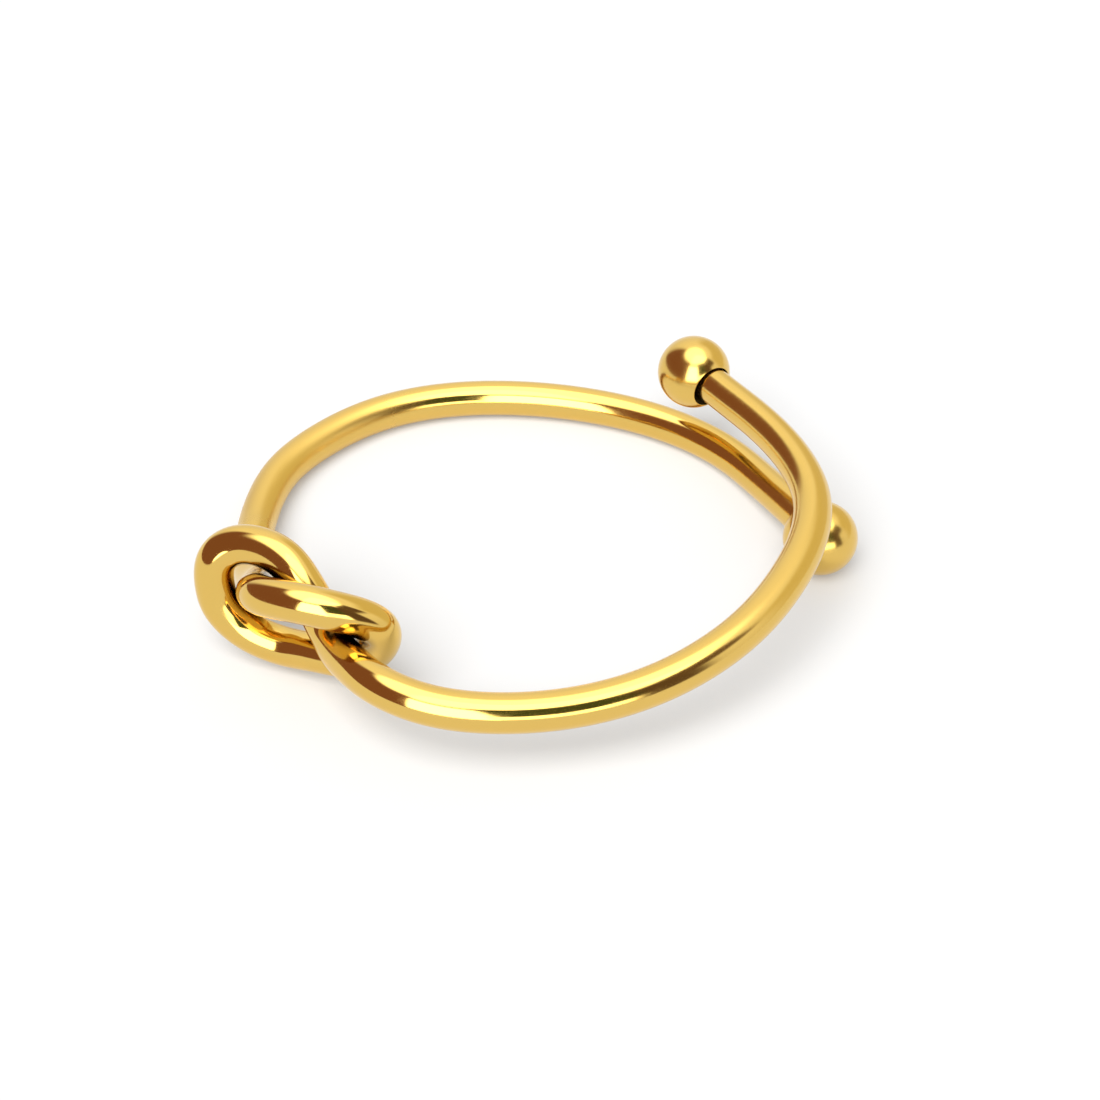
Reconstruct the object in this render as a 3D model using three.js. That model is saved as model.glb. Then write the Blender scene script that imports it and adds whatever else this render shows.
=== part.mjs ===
// Love knot ring. One round wire is bent round the finger as an open ring and tied in an overhand knot
// at the front left. Its two ends pass each other at the back right, one above the other, and each end
// is closed by a half-drilled ball bead.
//
// Frame: millimetres, +Z up along the finger's axis. The origin is on that axis, in the surface that the
// ring lies on. +X runs to the side where the ends pass, and -Y to the side of the front bow.
import * as THREE from "three";
import { NURBSCurve } from "three/addons/curves/NURBSCurve.js";

// Driving dimensions.
const WIRE_DIAMETER = 1.25;
const BEAD_DIAMETER = 2.5;
const BORE_CLEARANCE = 0.12; // radial room between the wire's end and the bead's bore
const BEAD_INWARDS = 0.06; // how far each bead sits inwards of the wire's end, towards the finger
const BEAD_DOWN = 0.05; // and how far below it
const BORE_PAST_CENTRE = 0.15; // how far the bore is drilled beyond the bead's centre

// Fineness of the faceted solids.
const WIRE_SIDES = 14;
const STEPS_PER_GUIDE = 4;
const SEAT_SEARCH_STEP = 0.0005; // share of the wire's length between tries for its exit from a bead
const BEAD_SIDES = 30;
const BEAD_ARC_STEPS = 14;

const wireRadius = WIRE_DIAMETER / 2;
const beadRadius = BEAD_DIAMETER / 2;
const boreRadius = wireRadius + BORE_CLEARANCE;

// Guide points of the wire's centre line, in order from the upper bead to the lower one.
// The wire is a smooth curve that is drawn towards them and cuts their corners a little.
// turn: degrees round the finger's axis, from +X towards +Y
// out:  distance from that axis
// up:   height above the surface
const FRONT_BOW = [
  { turn: 51.5, out: 9.25, up: 3.55 }, // the upper end, in its bead
  { turn: 44, out: 9, up: 3.5 },
  { turn: 33.5, out: 9.05, up: 3.5 },
  { turn: 20, out: 9.35, up: 3.45 },
  { turn: 5.5, out: 9.65, up: 3.4 }, // here it passes over the other end
  { turn: -8, out: 9.5, up: 3.35 },
  { turn: -22, out: 9.25, up: 3.2 },
  { turn: -38.5, out: 9.25, up: 3 },
  { turn: -57, out: 9.25, up: 2.7 }, // it slopes down to the front
  { turn: -74, out: 9.25, up: 2.45 },
];

// The front strand goes over the foot of a steep loop, up to its head and over the back strand, down round
// the foot, back over itself, and out through the loop as the back strand.
const KNOT = [
  { turn: -90, out: 9.45, up: 2.45 },
  { turn: -103.5, out: 9.8, up: 2.65 },
  { turn: -113.5, out: 9.7, up: 2.85 }, // the front strand comes in
  { turn: -120, out: 9.2, up: 2.65 }, // over the foot of the loop
  { turn: -127, out: 8.7, up: 2.4 },
  { turn: -132.5, out: 8.3, up: 2.45 }, // under the cross strand
  { turn: -136.5, out: 8.3, up: 3.1 },
  { turn: -141, out: 8.35, up: 3.65 },
  { turn: -146, out: 8.45, up: 4.1 }, // it rises to the head of the loop, over the back strand
  { turn: -151.5, out: 8.9, up: 4.2 },
  { turn: -155.5, out: 9.6, up: 4.05 },
  { turn: -156, out: 10.3, up: 3.55 }, // it falls steeply on the loop's outer side
  { turn: -155, out: 10.35, up: 2.5 },
  { turn: -153.5, out: 10.25, up: 1.85 },
  { turn: -151, out: 9.75, up: 1.2 },
  { turn: -147.5, out: 9.25, up: 0.95 }, // the foot of the loop lies near the surface
  { turn: -143.5, out: 8.65, up: 0.8 },
  { turn: -138, out: 8.25, up: 1.05 },
  { turn: -133, out: 7.85, up: 1.05 }, // under the front strand
  { turn: -127.5, out: 7.55, up: 1.3 },
  { turn: -123, out: 7.35, up: 2.05 },
  { turn: -121.5, out: 7.5, up: 2.95 }, // it stands up and turns back
  { turn: -124.5, out: 8, up: 3.5 },
  { turn: -128, out: 8.65, up: 3.9 },
  { turn: -132.5, out: 9.2, up: 4.1 }, // the cross strand, over the front strand
  { turn: -137, out: 9.55, up: 4 },
  { turn: -141.5, out: 9.8, up: 3.75 },
  { turn: -146, out: 9.6, up: 3.3 },
  { turn: -148.5, out: 9.3, up: 2.85 }, // down through the loop
  { turn: -152, out: 8.95, up: 2.4 },
  { turn: -157.5, out: 8.85, up: 1.7 }, // under the head of the loop
  { turn: -165.5, out: 8.8, up: 1.25 },
  { turn: -172.5, out: 8.8, up: 1 },
  { turn: -177.5, out: 8.8, up: 0.9 }, // the back strand leaves
];

const BACK_BOW = [
  { turn: 179.5, out: 8.75, up: 0.9 },
  { turn: 173, out: 8.9, up: 0.7 },
  { turn: 157, out: 9.35, up: 0.65 },
  { turn: 143.5, out: 9.4, up: 0.65 },
  { turn: 126, out: 9.5, up: 0.65 },
  { turn: 109, out: 9.35, up: 0.65 },
  { turn: 91, out: 9.15, up: 0.65 }, // it lies on the surface at the back
  { turn: 74, out: 9.2, up: 0.65 },
  { turn: 58, out: 9.45, up: 0.65 },
  { turn: 43, out: 9.65, up: 0.65 },
  { turn: 30.5, out: 9.55, up: 0.7 },
  { turn: 19, out: 9.65, up: 1 }, // it rises to the middle of its bead
  { turn: 6.5, out: 10.15, up: beadRadius + BEAD_DOWN }, // the lower end, in its bead
];

function guidePoint({ turn, out, up }) {
  const angle = THREE.MathUtils.degToRad(turn);
  return new THREE.Vector4(out * Math.cos(angle), out * Math.sin(angle), up, 1);
}

// The wire's centre line: a cubic B-spline that starts and ends on its first and last guide point.
function wireCentreLine() {
  const degree = 3;
  const guides = [...FRONT_BOW, ...KNOT, ...BACK_BOW].map(guidePoint);
  const last = guides.length - degree;
  const knots = [];
  for (let i = -degree; i <= last + degree; i++) knots.push(Math.min(Math.max(i, 0), last));
  const line = new NURBSCurve(degree, knots, guides);
  // Sections are spread evenly by guide point, so that they crowd where the bends are tight.
  line.getUtoTmapping = (u) => u;
  return line;
}

function knottedWire(line) {
  const section = new THREE.Shape();
  for (let i = 0; i < WIRE_SIDES; i++) {
    const angle = (2 * Math.PI * i) / WIRE_SIDES;
    const [x, y] = [wireRadius * Math.cos(angle), wireRadius * Math.sin(angle)];
    if (i === 0) section.moveTo(x, y);
    else section.lineTo(x, y);
  }
  section.closePath();
  const spans = line.controlPoints.length - line.degree;
  return new THREE.ExtrudeGeometry(section, {
    steps: spans * STEPS_PER_GUIDE,
    extrudePath: line,
    bevelEnabled: false,
  });
}

// A half-drilled ball, turned about its own Y axis, with its bore opening towards +Y.
function bead() {
  const mouthAngle = Math.asin(boreRadius / beadRadius); // from the axis to the bore's rim
  const profile = [];
  for (let i = 0; i <= BEAD_ARC_STEPS; i++) {
    const angle = Math.PI - ((Math.PI - mouthAngle) * i) / BEAD_ARC_STEPS;
    profile.push(new THREE.Vector2(beadRadius * Math.sin(angle), beadRadius * Math.cos(angle)));
  }
  profile[0].x = 0;
  profile.push(new THREE.Vector2(boreRadius, -BORE_PAST_CENTRE));
  profile.push(new THREE.Vector2(0, -BORE_PAST_CENTRE));
  return new THREE.LatheGeometry(profile, BEAD_SIDES);
}

// Seats a bead on the wire's end at parameter end (0 or 1), with its bore along the wire, so that the
// wire lies near the outer, upper side of the bore.
function seatBead(mesh, line, end) {
  const centre = line.getPoint(end);
  const inwards = end === 0 ? 1 : -1;
  let t = end;
  while (line.getPoint(t).distanceTo(centre) < beadRadius) t += inwards * SEAT_SEARCH_STEP;
  const alongWire = line.getPoint(t).sub(centre).normalize();
  const outwards = new THREE.Vector3(centre.x, centre.y, 0).normalize();
  mesh.position.copy(centre).addScaledVector(outwards, -BEAD_INWARDS);
  mesh.position.z -= BEAD_DOWN;
  mesh.quaternion.setFromUnitVectors(new THREE.Vector3(0, 1, 0), alongWire);
}

function gold() {
  return new THREE.MeshStandardMaterial({ color: 0xe0b354, roughness: 0.15, metalness: 1 });
}

function loveKnotRing() {
  const ring = new THREE.Group();
  const line = wireCentreLine();
  const wire = new THREE.Mesh(knottedWire(line), gold());
  wire.name = "knotted_wire";
  ring.add(wire);
  for (const [name, end] of [["upper_bead", 0], ["lower_bead", 1]]) {
    const mesh = new THREE.Mesh(bead(), gold());
    mesh.name = name;
    seatBead(mesh, line, end);
    ring.add(mesh);
  }
  return ring;
}

export default loveKnotRing();
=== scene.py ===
"""Love knot ring: its finished wire and beads, the surface it lies on, the light and the camera.

The file is laid out as an add-on. Each piece has its settings and its operator, and main() makes all of
them around the loaded frame. Lengths are in metres, +Z is up and the ring lies on Z = 0.
"""

from math import atan2, cos, pi, radians, sin

import bmesh
import bpy
from bpy.props import FloatProperty, FloatVectorProperty, IntProperty, PointerProperty
from mathutils import Matrix, Vector
from mathutils.kdtree import KDTree


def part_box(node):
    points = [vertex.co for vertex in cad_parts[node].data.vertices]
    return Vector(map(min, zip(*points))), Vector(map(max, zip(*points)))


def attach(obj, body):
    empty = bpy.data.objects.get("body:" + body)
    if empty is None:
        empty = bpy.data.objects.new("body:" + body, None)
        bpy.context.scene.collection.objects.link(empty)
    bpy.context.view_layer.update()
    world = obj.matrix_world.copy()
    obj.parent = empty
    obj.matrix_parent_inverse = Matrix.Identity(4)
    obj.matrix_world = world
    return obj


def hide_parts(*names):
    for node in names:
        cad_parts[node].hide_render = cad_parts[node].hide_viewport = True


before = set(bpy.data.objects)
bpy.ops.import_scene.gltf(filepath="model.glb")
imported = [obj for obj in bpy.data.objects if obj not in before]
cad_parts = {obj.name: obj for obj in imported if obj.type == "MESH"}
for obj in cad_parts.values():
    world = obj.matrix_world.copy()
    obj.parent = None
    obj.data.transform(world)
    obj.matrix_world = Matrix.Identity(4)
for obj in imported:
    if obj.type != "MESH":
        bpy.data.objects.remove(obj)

bl_info = {
    "name": "Love Knot Ring",
    "version": (1, 0, 0),
    "blender": (4, 5, 0),
    "location": "View3D > Sidebar > Love Knot Ring",
    "description": "Makes a finger ring of round wire tied in an overhand knot, with a bead on each end",
    "category": "Add Mesh",
}

MM = 0.001
BODY = "root"
FIT = 0.05 * MM  # most that a finished piece's box may differ from its solid's
OPEN_ROOM = 0.5 * MM  # a wire's surface this far from any other strand is in the open
OTHER_STRAND = 4  # wire radii along the wire, past which a near stretch counts as another strand
BORE_SHARE = 0.9  # faces nearer to a ball's centre than this share of its radius are in its bore
WELD_SHARE = 1e-5  # points of a ball closer together than this share of its radius are merged
SAME_PLACE = 0.001 * MM  # most that two equal heights or distances differ

# Noise scales of the metal's marks, in features per metre.
CLOUD_SCALE = 420.0
GRAIN_SCALE = 5200.0
# Speckle scale of the bore's painted shade.
BORE_SHADE_SCALE = 6000.0
GRAIN_ROUGHNESS = 0.02  # what the fine grain adds at most

# Where the polish changes, by length in millimetres from the upper bead. The wire's polish is worn near
# its ends and gone at the back left.
POLISH_CHANGES = (
    # from, to, which roughness it reaches
    (14, 22, "roughness"),
    (53, 57, "dull_roughness"),
    (63, 67, "roughness"),
    (76, 80, "worn_roughness"),
)

# Guide points of the wire's centre line, from the upper bead to the lower one.
# turn: degrees round the finger's axis, from +X towards +Y
# out:  millimetres from that axis
# up:   millimetres above the surface
FRONT_BOW = (
    # turn, out, up
    (51.5, 9.25, 3.55),  # the upper end, in its bead
    (44, 9, 3.5),
    (33.5, 9.05, 3.5),
    (20, 9.35, 3.45),
    (5.5, 9.65, 3.4),  # here it passes over the other end
    (-8, 9.5, 3.35),
    (-22, 9.25, 3.2),
    (-38.5, 9.25, 3),
    (-57, 9.25, 2.7),  # it slopes down to the front
    (-74, 9.25, 2.45),
)
# The front strand goes over the foot of a steep loop, up to its head and over the back strand, down round
# the foot, back over itself, and out through the loop as the back strand.
KNOT = (
    # turn, out, up
    (-90, 9.45, 2.45),
    (-103.5, 9.8, 2.65),
    (-113.5, 9.7, 2.85),  # the front strand comes in
    (-120, 9.2, 2.65),  # over the foot of the loop
    (-127, 8.7, 2.4),
    (-132.5, 8.3, 2.45),  # under the cross strand
    (-136.5, 8.3, 3.1),
    (-141, 8.35, 3.65),
    (-146, 8.45, 4.1),  # it rises to the head of the loop, over the back strand
    (-151.5, 8.9, 4.2),
    (-155.5, 9.6, 4.05),
    (-156, 10.3, 3.55),  # it falls steeply on the loop's outer side
    (-155, 10.35, 2.5),
    (-153.5, 10.25, 1.85),
    (-151, 9.75, 1.2),
    (-147.5, 9.25, 0.95),  # the foot of the loop lies near the surface
    (-143.5, 8.65, 0.8),
    (-138, 8.25, 1.05),
    (-133, 7.85, 1.05),  # under the front strand
    (-127.5, 7.55, 1.3),
    (-123, 7.35, 2.05),
    (-121.5, 7.5, 2.95),  # it stands up and turns back
    (-124.5, 8, 3.5),
    (-128, 8.65, 3.9),
    (-132.5, 9.2, 4.1),  # the cross strand, over the front strand
    (-137, 9.55, 4),
    (-141.5, 9.8, 3.75),
    (-146, 9.6, 3.3),
    (-148.5, 9.3, 2.85),  # down through the loop
    (-152, 8.95, 2.4),
    (-157.5, 8.85, 1.7),  # under the head of the loop
    (-165.5, 8.8, 1.25),
    (-172.5, 8.8, 1),
    (-177.5, 8.8, 0.9),  # the back strand leaves
)
BACK_BOW = (
    # turn, out, up
    (179.5, 8.75, 0.9),
    (173, 8.9, 0.7),
    (157, 9.35, 0.65),
    (143.5, 9.4, 0.65),
    (126, 9.5, 0.65),
    (109, 9.35, 0.65),
    (91, 9.15, 0.65),  # it lies on the surface at the back
    (74, 9.2, 0.65),
    (58, 9.45, 0.65),
    (43, 9.65, 0.65),
    (30.5, 9.55, 0.7),
    (19, 9.65, 1),  # it rises to the middle of its bead
    (6.5, 10.15, 1.3),  # the lower end, in its bead
)

# What stands round the ring in the studio, as the polished metal mirrors it. Later rows cover earlier
# ones. Angles are in degrees: turn from the camera's side, with + to the right, and rise above the
# table. The soft widths are those of the two edges before them.
SURROUND = (
    # turn from, to, soft widths, rise from, to, soft widths, colour, strength
    (-30, 90, (14, 14), 58, 90, (8, 8), (1.0, 1.0, 0.9), 4.0),  # the lamp above the front
    (-137, -27, (16, 3), -10, 58, (12, 8), (1.0, 0.44, 0.32), 0.27),  # brown cupboard on the left
    (-90, -30, (10, 10), -18, 0, (10, 6), (1.0, 0.44, 0.32), 0.27),  # and its foot
    (12, 46, (3, 3), 20, 57, (4, 5), (0.8, 1.0, 0.5), 0.11),  # dark doorway on the right
    (42, 66, (5, 6), 3, 52, (6, 5), (1.0, 0.65, 0.5), 0.15),  # its brown side
    (56, 90, (8, 6), 32, 56, (8, 5), (1.0, 0.65, 0.5), 0.17),
    (-27, 12, (3, 3), 3, 50, (4, 4), (1.0, 1.0, 1.0), 5.0),  # the window behind the camera
    (10, 40, (3, 4), 5, 21, (3, 3), (1.0, 1.0, 0.92), 3.5),
    (95, 168, (20, 20), -5, 42, (12, 14), (1.0, 0.92, 0.62), 0.88),  # shaded wall on the right
)

# The surround behind all those: its strength rises with the rise above the table, in degrees.
WALLS = (0, 50, 1.0, 1.25)  # rise from, to, strength from, to
OVERHEAD = (55, 68, 0.0, 1.6)  # added to the walls


def guide_points():
    """The wire's guide points in metres, from the upper bead's centre to the lower one's."""
    return [
        Vector((out * cos(radians(turn)), out * sin(radians(turn)), up)) * MM
        for turn, out, up in (*FRONT_BOW, *KNOT, *BACK_BOW)
    ]


def spline_point(guides, at, degree=3):
    """Point of the clamped uniform B-spline of those guides, for at from 0 to len(guides) - degree."""
    last = len(guides) - degree
    span = min(int(at), last - 1)
    knots = [min(max(i, 0), last) for i in range(span - degree + 1, span + degree + 1)]
    near = guides[span : span + degree + 1]
    for level in range(1, degree + 1):
        for i in range(degree, level - 1, -1):
            low, high = knots[i - 1], knots[i + degree - level]
            near[i] = near[i - 1].lerp(near[i], (at - low) / (high - low))
    return near[degree]


def centre_line(wire):
    """Points of the wire's centre line, the same number between each two guides."""
    guides = guide_points()
    spans = len(guides) - 3
    steps = spans * wire.steps_per_guide
    return [spline_point(guides, spans * i / steps) for i in range(steps + 1)]


def new_elements(result, kind):
    return [element for element in result["geom"] if isinstance(element, kind)]


def sweep_round(bm, line, radius, sides):
    """A round tube along line, extruded ring by ring with no twist. Each point stores its length along it."""
    ahead = [b - a for a, b in zip(line, line[1:])]
    tangents = [ahead[0], *(a + b for a, b in zip(ahead, ahead[1:])), ahead[-1]]
    turned = tangents[0].to_track_quat("Z", "X")
    made = bmesh.ops.create_circle(
        bm,
        segments=sides,
        radius=radius,
        matrix=Matrix.Translation(line[0]) @ turned.to_matrix().to_4x4(),
    )
    ring = made["verts"]
    edges = bm.edges[:]
    bmesh.ops.contextual_create(bm, geom=edges)
    lengths = bm.verts.layers.float.new("length")
    length = 0.0
    for here, there, before, after in zip(line, line[1:], tangents, tangents[1:]):
        length += (there - here).length
        out = bmesh.ops.extrude_edge_only(bm, edges=edges)
        ring = new_elements(out, bmesh.types.BMVert)
        edges = [e for e in new_elements(out, bmesh.types.BMEdge) if all(v in ring for v in e.verts)]
        bend = before.rotation_difference(after).to_matrix().to_4x4()
        step = Matrix.Translation(there) @ bend @ Matrix.Translation(-here)
        bmesh.ops.transform(bm, matrix=step, verts=ring)
        for vert in ring:
            vert[lengths] = length
    bmesh.ops.contextual_create(bm, geom=edges)


def mark_crevice_shade(bm, line, radius):
    """Stores at each point of the wire how much room it has to the nearest other strand, which sets the
    painted shade in its crevices.
    """
    lengths = bm.verts.layers.float["length"]
    rooms = bm.verts.layers.float.new("room")
    along = [0.0]
    for a, b in zip(line, line[1:]):
        along.append(along[-1] + (b - a).length)
    strands = KDTree(len(line))
    for i, point in enumerate(line):
        strands.insert(point, i)
    strands.balance()
    for vert in bm.verts:
        vert[rooms] = OPEN_ROOM
        for _, i, distance in strands.find_range(vert.co, radius + OPEN_ROOM):
            if abs(along[i] - vert[lengths]) > OTHER_STRAND * radius:
                vert[rooms] = min(vert[rooms], distance - radius)


def half_drilled_ball(bead, bore_radius):
    """A ball about the origin with a bore that opens towards +Z."""
    radius = bead.diameter / 2
    bottom = -bead.bore_past_centre
    rim_height = (radius**2 - bore_radius**2) ** 0.5
    bm = bmesh.new()
    pole = bm.verts.new((0, 0, -radius))
    arc = bmesh.ops.spin(
        bm,
        geom=[pole],
        cent=(0, 0, 0),
        axis=(0, -1, 0),
        angle=pi - atan2(bore_radius, rim_height),
        steps=bead.arc_steps,
    )
    end = new_elements({"geom": arc["geom_last"]}, bmesh.types.BMVert)[0]
    for step in ((0, 0, bottom - rim_height), (-bore_radius, 0, 0)):
        out = bmesh.ops.extrude_vert_indiv(bm, verts=[end])
        end = out["verts"][0]
        bmesh.ops.translate(bm, vec=step, verts=[end])
    bmesh.ops.spin(
        bm,
        geom=bm.verts[:] + bm.edges[:],
        cent=(0, 0, 0),
        axis=(0, 0, 1),
        angle=2 * pi,
        steps=bead.sides,
        use_merge=True,
    )
    bmesh.ops.remove_doubles(bm, verts=bm.verts, dist=radius * WELD_SHARE)
    bmesh.ops.recalc_face_normals(bm, faces=bm.faces)
    rim = [
        edge
        for edge in bm.edges
        if all(abs(v.co.z - rim_height) < SAME_PLACE for v in edge.verts)
        and all(abs(v.co.xy.length - bore_radius) < SAME_PLACE for v in edge.verts)
    ]
    bmesh.ops.bevel(
        bm,
        geom=rim,
        offset=bead.lip,
        offset_type="OFFSET",
        affect="EDGES",
        segments=3,
        profile=0.5,
        material=-1,
        clamp_overlap=True,
    )
    # Faces in the bore take the second material, the bore's painted shade.
    for face in bm.faces:
        if face.calc_center_median().length < radius * BORE_SHARE:
            face.material_index = 1
    return bm


def finished_piece(bm, name, *materials):
    """Turns the bmesh into a smooth-shaded object at the origin that stands for the CAD node of that name."""
    bmesh.ops.recalc_face_normals(bm, faces=bm.faces)
    mesh = bpy.data.meshes.new(name + "_finished")
    bm.to_mesh(mesh)
    bm.free()
    mesh.shade_smooth()
    for material in materials:
        mesh.materials.append(material)
    piece = bpy.data.objects.new(name + "_finished", mesh)
    bpy.context.scene.collection.objects.link(piece)
    check_fit(piece, name)
    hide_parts(name)
    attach(piece, BODY)
    return piece


def check_fit(piece, node):
    """Stops the script if the piece doesn't fill the box of the solid that it stands for."""
    places = [vertex.co for vertex in piece.data.vertices]
    low = [min(place[axis] for place in places) for axis in range(3)]
    high = [max(place[axis] for place in places) for axis in range(3)]
    for mine, solid in zip((low, high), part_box(node)):
        for axis in range(3):
            if abs(mine[axis] - solid[axis]) > FIT:
                raise RuntimeError(f"{piece.name} is {mine} where {node} is {solid}")


# Materials ---------------------------------------------------------------------------------------


def add_node(tree, kind, inputs=(), **settings):
    """A new node, with its settings, and with its sockets set to a value or linked to another socket."""
    node = tree.nodes.new(kind)
    for name, value in settings.items():
        setattr(node, name, value)
    for name, value in dict(inputs).items():
        if isinstance(value, bpy.types.NodeSocket):
            tree.links.new(value, node.inputs[name])
        else:
            node.inputs[name].default_value = value
    return node


def ramp(tree, value, low, high, to_low=0.0, to_high=1.0, smooth=True):
    """value mapped from low..high to to_low..to_high, held at both ends."""
    return add_node(
        tree,
        "ShaderNodeMapRange",
        {0: value, 1: low, 2: high, 3: to_low, 4: to_high},
        interpolation_type="SMOOTHSTEP" if smooth else "LINEAR",
    ).outputs[0]


def calculate(tree, operation, *values):
    return add_node(tree, "ShaderNodeMath", enumerate(values), operation=operation).outputs[0]


def mix(tree, share, first, second, kind="FLOAT"):
    node = tree.nodes.new("ShaderNodeMix")
    node.data_type = kind
    sockets = [socket for socket in node.inputs if socket.enabled]
    for socket, value in zip(sockets, (share, first, second)):
        if isinstance(value, bpy.types.NodeSocket):
            tree.links.new(value, socket)
        else:
            socket.default_value = value
    return next(socket for socket in node.outputs if socket.enabled)


def wear_along_wire(tree, settings):
    """Roughness by the length from the upper bead: bright at the front, dull at the back left."""
    length = add_node(tree, "ShaderNodeAttribute", attribute_name="length").outputs["Fac"]
    gloss = settings.worn_roughness
    for start, end, reached in POLISH_CHANGES:
        along = ramp(tree, length, start * MM, end * MM)
        gloss = mix(tree, along, gloss, getattr(settings, reached))
    return gloss


def polished_gold(settings, name, along_wire=False):
    """Polished yellow metal: soft cloudy marks of handling in its gloss, a very slight ripple, and on the
    wire painted shade in its crevices.
    """
    material = bpy.data.materials.new(name)
    material.use_nodes = True
    tree = material.node_tree
    tree.nodes.clear()
    place = add_node(tree, "ShaderNodeTexCoord").outputs["Object"]
    cloud = add_node(tree, "ShaderNodeTexNoise", {"Vector": place, "Scale": CLOUD_SCALE, "Detail": 3.0})
    grain = add_node(tree, "ShaderNodeTexNoise", {"Vector": place, "Scale": GRAIN_SCALE, "Detail": 2.0})
    marks = calculate(
        tree,
        "ADD",
        ramp(tree, cloud.outputs[0], 0.35, 0.68, 0.0, settings.cloudiness),
        ramp(tree, grain.outputs[0], 0.4, 0.7, 0.0, GRAIN_ROUGHNESS),
    )
    polish = wear_along_wire(tree, settings) if along_wire else settings.bead_roughness
    colour = (*settings.colour, 1.0)
    # Painted shade: on the wire the colour darkens towards its crevices, where it nears another strand.
    if along_wire:
        room = add_node(tree, "ShaderNodeAttribute", attribute_name="room").outputs["Fac"]
        painted_shade_colour = (*(c * s for c, s in zip(settings.colour, settings.crevice_painted_shade)), 1.0)
        colour = mix(tree, ramp(tree, room, 0.0, settings.crevice_shade_room), painted_shade_colour, colour, "RGBA")
    ripple = add_node(
        tree,
        "ShaderNodeBump",
        {"Height": cloud.outputs[0], "Strength": 1.0, "Distance": settings.ripple},
    )
    shader = add_node(
        tree,
        "ShaderNodeBsdfPrincipled",
        {
            "Base Color": colour,
            "Metallic": 1.0,
            "Roughness": calculate(tree, "ADD", marks, polish),
            "Normal": ripple.outputs[0],
        },
    )
    add_node(tree, "ShaderNodeOutputMaterial", {"Surface": shader.outputs[0]})
    return material


def painted_shade_bore(settings):
    """Painted shade inside a bead's drilled bore: rough, near black, with paler specks of noise."""
    material = bpy.data.materials.new("painted_shade_bore")
    material.use_nodes = True
    tree = material.node_tree
    place = add_node(tree, "ShaderNodeTexCoord").outputs["Object"]
    speckle = add_node(tree, "ShaderNodeTexNoise", {"Vector": place, "Scale": BORE_SHADE_SCALE, "Detail": 2.0})
    # The bore's painted shade runs from near black to a little paler, by the noise.
    dark, pale = ((*(c * share for c in settings.colour), 1.0) for share in (0.03, 0.12))
    shader = tree.nodes["Principled BSDF"]
    colour = mix(tree, ramp(tree, speckle.outputs[0], 0.45, 0.75), dark, pale, "RGBA")
    tree.links.new(colour, shader.inputs["Base Color"])
    shader.inputs["Roughness"].default_value = 0.8
    shader.inputs["Specular IOR Level"].default_value = 0.1
    return material


def white_paper(settings):
    material = bpy.data.materials.new("white_paper")
    material.use_nodes = True
    shader = material.node_tree.nodes["Principled BSDF"]
    shader.inputs["Base Color"].default_value = (*settings.paper_colour, 1.0)
    shader.inputs["Roughness"].default_value = 1.0
    shader.inputs["Specular IOR Level"].default_value = 0.0
    shader.inputs["Emission Color"].default_value = (1.0, 1.0, 1.0, 1.0)
    shader.inputs["Emission Strength"].default_value = settings.paper_glow
    return material


# Settings ----------------------------------------------------------------------------------------


class KnottedWireSettings(bpy.types.PropertyGroup):
    diameter: FloatProperty(
        name="Diameter",
        description="Diameter of the drawn wire",
        default=1.25 * MM,
        precision=5,
        unit="LENGTH",
    )
    sides: IntProperty(name="Sides", description="Faces round the wire", default=48, min=8)
    steps_per_guide: IntProperty(
        name="Steps per Guide",
        description="Rings of faces between two guide points",
        default=14,
        min=4,
    )


class BeadSettings(bpy.types.PropertyGroup):
    diameter: FloatProperty(
        name="Diameter",
        description="Diameter of each ball",
        default=2.5 * MM,
        precision=5,
        unit="LENGTH",
    )
    bore_clearance: FloatProperty(
        name="Bore Clearance",
        description="Room between the wire's end and the bore round it",
        default=0.12 * MM,
        precision=6,
        unit="LENGTH",
    )
    inwards: FloatProperty(
        name="Inwards",
        description="How far each ball sits inwards of the wire's end, towards the finger",
        default=0.06 * MM,
        precision=6,
        unit="LENGTH",
    )
    down: FloatProperty(
        name="Down",
        description="How far each ball sits below the wire's end",
        default=0.05 * MM,
        precision=6,
        unit="LENGTH",
    )
    bore_past_centre: FloatProperty(
        name="Bore Past Centre",
        description="How far the bore is drilled beyond the ball's centre",
        default=0.15 * MM,
        precision=5,
        unit="LENGTH",
    )
    lip: FloatProperty(
        name="Lip",
        description="Width of the rounding at the bore's mouth",
        default=0.02 * MM,
        precision=6,
        unit="LENGTH",
    )
    arc_steps: IntProperty(
        name="Arc Steps", description="Faces from the pole to the bore's mouth", default=48, min=8
    )
    sides: IntProperty(name="Sides", description="Faces round the ball", default=96, min=12)


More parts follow.
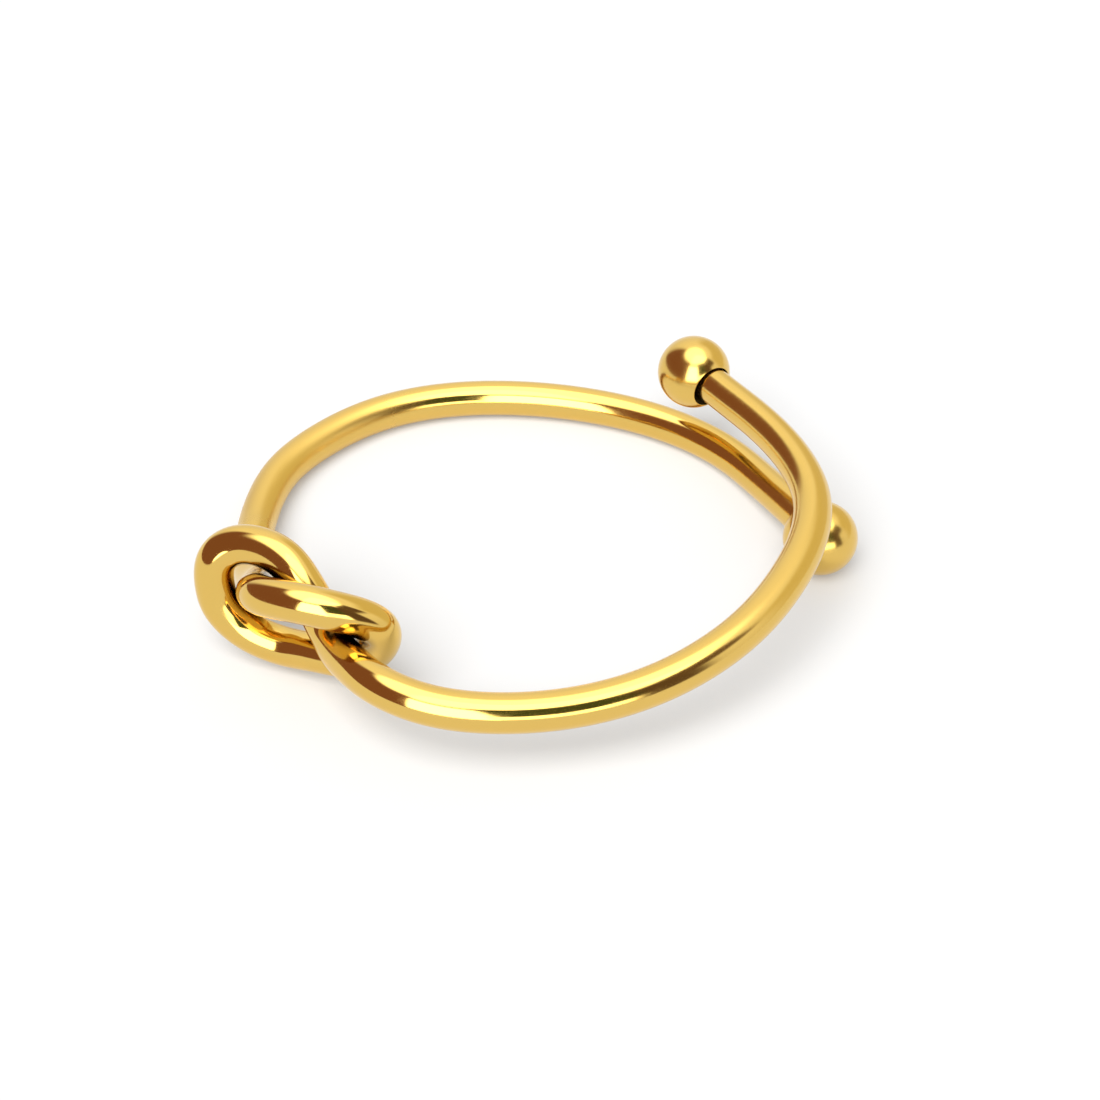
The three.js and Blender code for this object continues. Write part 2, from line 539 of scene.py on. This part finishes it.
class GoldSettings(bpy.types.PropertyGroup):
    colour: FloatVectorProperty(
        name="Colour",
        description="Colour of the metal as it mirrors white",
        default=(0.735, 0.49, 0.125),
        min=0,
        max=1,
        subtype="COLOR",
    )
    roughness: FloatProperty(
        name="Roughness", description="Roughness where the polish is best", default=0.08, min=0, max=1
    )
    worn_roughness: FloatProperty(
        name="Worn Roughness",
        description="Roughness of the wire near its ends, where handling has worn the polish",
        default=0.17,
        min=0,
        max=1,
    )
    bead_roughness: FloatProperty(
        name="Bead Roughness", description="Roughness of the balls", default=0.17, min=0, max=1
    )
    dull_roughness: FloatProperty(
        name="Dull Roughness",
        description="Roughness of the wire at the back left, where the polish is gone",
        default=0.3,
        min=0,
        max=1,
    )
    cloudiness: FloatProperty(
        name="Cloudiness",
        description="Roughness that the cloudy marks of handling add",
        default=0.04,
        min=0,
        max=1,
    )
    # Painted shade in the crevices: share of the metal's colour kept where two strands touch.
    crevice_painted_shade: FloatVectorProperty(
        name="Crevice",
        description="Share of its colour that the metal keeps where two strands touch",
        default=(0.1, 0.07, 0.05),
        min=0,
        max=1,
    )
    # Painted shade: the metal has its full colour again this far from the next strand.
    crevice_shade_room: FloatProperty(
        name="Crevice Room",
        description="Distance from the next strand at which the metal is clean again",
        default=0.42 * MM,
        precision=6,
        unit="LENGTH",
    )
    ripple: FloatProperty(
        name="Ripple",
        description="Height of the slight waves that hand bending leaves",
        default=0.004 * MM,
        precision=6,
        unit="LENGTH",
    )


class StudioSettings(bpy.types.PropertyGroup):
    camera_rise: FloatProperty(
        name="Camera Rise",
        description="Angle of the camera above the surface",
        default=radians(39.5),
        subtype="ANGLE",
    )
    camera_roll: FloatProperty(
        name="Camera Roll",
        description="Turn of the camera about its own view",
        default=radians(2.84),
        subtype="ANGLE",
    )
    camera_distance: FloatProperty(
        name="Camera Distance",
        description="Distance from the camera to the ring's origin along its view",
        default=79.05 * MM,
        unit="LENGTH",
    )
    camera_aside: FloatProperty(
        name="Camera Aside",
        description="How far the camera stands to the right of the origin",
        default=1.079 * MM,
        precision=5,
        unit="LENGTH",
    )
    camera_above: FloatProperty(
        name="Camera Above",
        description="How far the camera stands above the origin, in its own view",
        default=0.79 * MM,
        precision=5,
        unit="LENGTH",
    )
    lens: FloatProperty(name="Lens", description="Focal length in millimetres", default=77.61)
    paper_size: FloatProperty(
        name="Paper Size", description="Side of the white surface", default=4.0, unit="LENGTH"
    )
    paper_colour: FloatVectorProperty(
        name="Paper Colour",
        description="Colour of the surface that the ring lies on",
        default=(0.5, 0.5, 0.5),
        min=0,
        max=1,
        subtype="COLOR",
    )
    paper_glow: FloatProperty(
        name="Paper Glow", description="Light that comes up through the surface", default=0.24, min=0
    )
    ambient: FloatProperty(
        name="Ambient", description="Even light from all round", default=0.58, min=0
    )
    key_strength: FloatProperty(
        name="Key Strength", description="Strength of the soft key light", default=3.95, min=0
    )
    key_spread: FloatProperty(
        name="Key Spread",
        description="Angle that the key light fills, which softens its shadows",
        default=radians(46),
        subtype="ANGLE",
    )


# Operators ---------------------------------------------------------------------------------------


class LOVEKNOT_OT_wire(bpy.types.Operator):
    """Sweep the knotted wire along its centre line"""

    bl_idname = "loveknot.wire"
    bl_label = "Knotted Wire"

    def execute(self, context):
        wire = context.scene.loveknot_wire
        gold = polished_gold(context.scene.loveknot_gold, "wire_gold", along_wire=True)
        bm = bmesh.new()
        line = centre_line(wire)
        sweep_round(bm, line, wire.diameter / 2, wire.sides)
        # Stores the room that the crevices' painted shade reads.
        mark_crevice_shade(bm, line, wire.diameter / 2)
        piece = finished_piece(bm, "knotted_wire", gold)
        return {"FINISHED"}


class LOVEKNOT_OT_beads(bpy.types.Operator):
    """Put a half-drilled ball on each end of the wire"""

    bl_idname = "loveknot.beads"
    bl_label = "Beads"

    def execute(self, context):
        wire = context.scene.loveknot_wire
        bead = context.scene.loveknot_bead
        gold = polished_gold(context.scene.loveknot_gold, "bead_gold")
        # The second material paints shade inside each bore.
        inside = painted_shade_bore(context.scene.loveknot_gold)
        line = centre_line(wire)
        for node, inwards in (("upper_bead", line), ("lower_bead", line[::-1])):
            centre = inwards[0]
            exit_point = next(p for p in inwards if (p - centre).length >= bead.diameter / 2)
            turned = (exit_point - centre).to_track_quat("Z", "Y").to_matrix().to_4x4()
            bm = half_drilled_ball(bead, wire.diameter / 2 + bead.bore_clearance)
            seat = centre - centre.xy.normalized().to_3d() * bead.inwards - Vector((0, 0, bead.down))
            bmesh.ops.transform(bm, matrix=Matrix.Translation(seat) @ turned, verts=bm.verts)
            piece = finished_piece(bm, node, gold, inside)
        return {"FINISHED"}


def lay_paper(studio):
    bm = bmesh.new()
    bmesh.ops.create_grid(bm, x_segments=1, y_segments=1, size=studio.paper_size / 2)
    mesh = bpy.data.meshes.new("paper")
    bm.to_mesh(mesh)
    bm.free()
    mesh.materials.append(white_paper(studio))
    paper = bpy.data.objects.new("paper", mesh)
    bpy.context.scene.collection.objects.link(paper)


def hang_key_light(studio):
    """A broad lamp above the front left. The metal mirrors the surround and not this lamp."""
    light = bpy.data.lights.new("key", "SUN")
    light.energy = studio.key_strength
    light.angle = studio.key_spread
    key = bpy.data.objects.new("key", light)
    towards_lamp = Vector((-0.3, -0.65, 1.0))
    key.rotation_euler = towards_lamp.to_track_quat("Z", "Y").to_euler()
    key.visible_glossy = False
    bpy.context.scene.collection.objects.link(key)


def panel_mask(tree, turn, rise, panel):
    """1 inside a panel of the surround and 0 outside it, with soft edges."""
    turn_from, turn_to, turn_soft, rise_from, rise_to, rise_soft, *_ = panel
    mask = None
    for value, places, widths in (
        (turn, (turn_from, turn_to), turn_soft),
        (rise, (rise_from, rise_to), rise_soft),
    ):
        for at, width, ends in zip(places, widths, ((0.0, 1.0), (1.0, 0.0))):
            side = ramp(tree, value, radians(at - width / 2), radians(at + width / 2), *ends)
            mask = side if mask is None else calculate(tree, "MULTIPLY", mask, side)
    return mask


def light_surround(studio):
    """The world: a studio for the metal to mirror, even light for the paper, and plain white to look at."""
    world = bpy.data.worlds.new("studio")
    world.use_nodes = True
    tree = world.node_tree
    tree.nodes.clear()
    direction = add_node(tree, "ShaderNodeTexCoord").outputs["Generated"]
    parts = add_node(tree, "ShaderNodeSeparateXYZ", {0: direction}).outputs
    turn = calculate(tree, "ARCTAN2", parts["X"], calculate(tree, "MULTIPLY", parts["Y"], -1.0))
    rise = calculate(tree, "ARCSINE", parts["Z"])
    walls, overhead = (
        ramp(tree, rise, radians(low), radians(high), *strengths)
        for low, high, *strengths in (WALLS, OVERHEAD)
    )
    behind = calculate(tree, "ADD", walls, overhead)
    seen = add_node(tree, "ShaderNodeCombineColor", dict.fromkeys(range(3), behind)).outputs[0]
    for panel in SURROUND:
        *_, colour, strength = panel
        seen = add_node(
            tree,
            "ShaderNodeMix",
            {
                "Factor": panel_mask(tree, turn, rise, panel),
                "A": seen,
                "B": (*(c * strength for c in colour), 1.0),
            },
            data_type="RGBA",
        ).outputs["Result"]
    path = add_node(tree, "ShaderNodeLightPath").outputs
    mirrored = add_node(tree, "ShaderNodeBackground", {"Color": seen, "Strength": 1.0})
    even = add_node(
        tree, "ShaderNodeBackground", {"Color": (1.0, 1.0, 1.0, 1.0), "Strength": studio.ambient}
    )
    plain = add_node(
        tree, "ShaderNodeBackground", {"Color": (1.0, 1.0, 1.0, 1.0), "Strength": 1.0}
    )
    lit = add_node(
        tree,
        "ShaderNodeMixShader",
        {0: path["Is Glossy Ray"], 1: even.outputs[0], 2: mirrored.outputs[0]},
    )
    shown = add_node(
        tree,
        "ShaderNodeMixShader",
        {0: path["Is Camera Ray"], 1: lit.outputs[0], 2: plain.outputs[0]},
    )
    add_node(tree, "ShaderNodeOutputWorld", {"Surface": shown.outputs[0]})
    bpy.context.scene.world = world


def set_camera(studio):
    back = Vector((0, -cos(studio.camera_rise), sin(studio.camera_rise)))
    across = Vector((1, 0, 0))
    upward = back.cross(across)
    roll = studio.camera_roll
    right = across * cos(roll) + upward * sin(roll)
    top = upward * cos(roll) - across * sin(roll)
    data = bpy.data.cameras.new("camera")
    data.sensor_width = 36
    data.lens = studio.lens
    data.clip_start = 0.001
    data.clip_end = 20
    camera = bpy.data.objects.new("camera", data)
    camera.matrix_world = Matrix.Translation(
        back * studio.camera_distance + right * studio.camera_aside + top * studio.camera_above
    ) @ Matrix((right, top, back)).transposed().to_4x4()
    bpy.context.scene.collection.objects.link(camera)
    bpy.context.scene.camera = camera


class LOVEKNOT_OT_studio(bpy.types.Operator):
    """Lay the white surface and set the light and the camera"""

    bl_idname = "loveknot.studio"
    bl_label = "Studio"

    def execute(self, context):
        studio = context.scene.loveknot_studio
        lay_paper(studio)
        hang_key_light(studio)
        light_surround(studio)
        set_camera(studio)
        context.scene.view_settings.view_transform = "Standard"
        return {"FINISHED"}


class LOVEKNOT_PT_panel(bpy.types.Panel):
    bl_idname = "LOVEKNOT_PT_panel"
    bl_label = "Love Knot Ring"
    bl_space_type = "VIEW_3D"
    bl_region_type = "UI"
    bl_category = "Love Knot Ring"

    def draw(self, context):
        for owner, operator in OPERATORS_BY_SETTINGS:
            settings = getattr(context.scene, owner)
            box = self.layout.box()
            for name in settings.__annotations__:
                box.prop(settings, name)
            if operator:
                box.operator(operator.bl_idname)


SETTINGS = {
    "loveknot_wire": KnottedWireSettings,
    "loveknot_bead": BeadSettings,
    "loveknot_gold": GoldSettings,
    "loveknot_studio": StudioSettings,
}
OPERATORS_BY_SETTINGS = (
    ("loveknot_gold", None),
    ("loveknot_wire", LOVEKNOT_OT_wire),
    ("loveknot_bead", LOVEKNOT_OT_beads),
    ("loveknot_studio", LOVEKNOT_OT_studio),
)
OPERATORS = (LOVEKNOT_OT_wire, LOVEKNOT_OT_beads, LOVEKNOT_OT_studio)
CLASSES = (*SETTINGS.values(), *OPERATORS, LOVEKNOT_PT_panel)


def register():
    for cls in CLASSES:
        bpy.utils.register_class(cls)
    for name, group in SETTINGS.items():
        setattr(bpy.types.Scene, name, PointerProperty(type=group))


def unregister():
    for name in SETTINGS:
        delattr(bpy.types.Scene, name)
    for cls in reversed(CLASSES):
        bpy.utils.unregister_class(cls)


def main():
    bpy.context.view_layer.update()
    register()
    bpy.ops.loveknot.wire()
    bpy.ops.loveknot.beads()
    bpy.ops.loveknot.studio()


if __name__ == "__main__":
    main()
